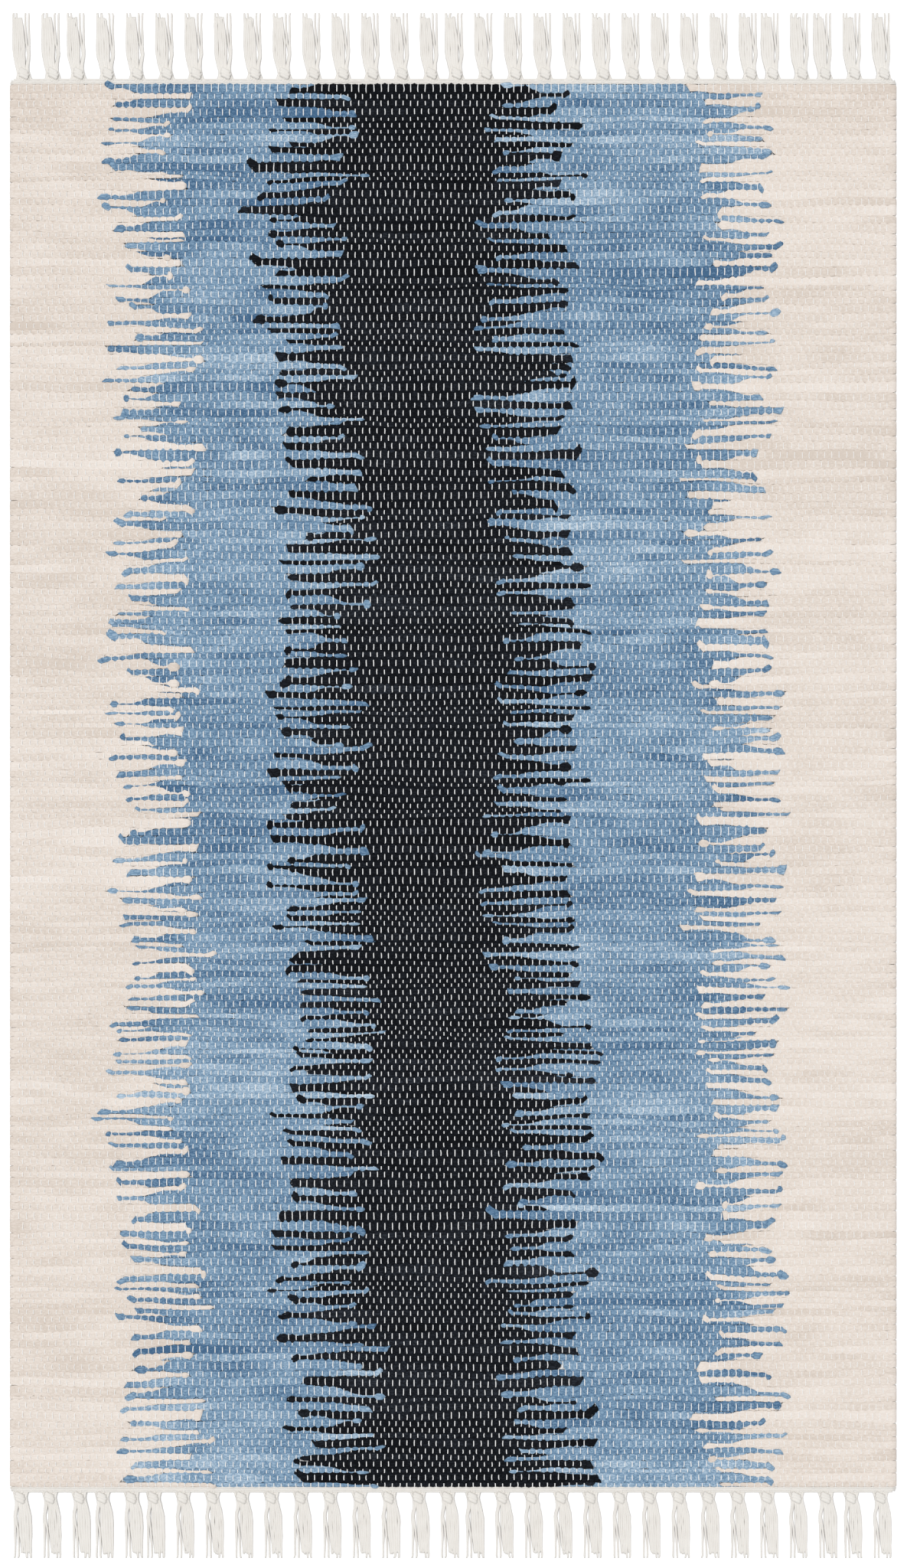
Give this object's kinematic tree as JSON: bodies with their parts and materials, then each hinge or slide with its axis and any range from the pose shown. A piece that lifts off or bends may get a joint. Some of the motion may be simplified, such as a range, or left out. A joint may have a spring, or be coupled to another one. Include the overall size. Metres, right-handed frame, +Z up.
{
  "type": "handwoven cotton rag rug",
  "caption": "Flat handwoven cotton rag rug with wide cross stripes that interlock raggedly, and a knotted fringe at each short end.",
  "frame": {"origin": "on the floor, under the middle of the rug", "axes": "+X across the rug along its picks, +Y along the warp towards the head end's fringe, +Z up off the floor"},
  "size_m": [0.762, 1.3288, 0.006],
  "materials": {
    "rag_weft": "matt torn cotton strips in undyed, mid blue and black",
    "warp_yarn": "matt undyed cotton yarn"
  },
  "bodies": {
    "root": {"woven_field": "rag_weft", "fringe_head": "warp_yarn", "fringe_foot": "warp_yarn"}
  },
  "joints": []
}
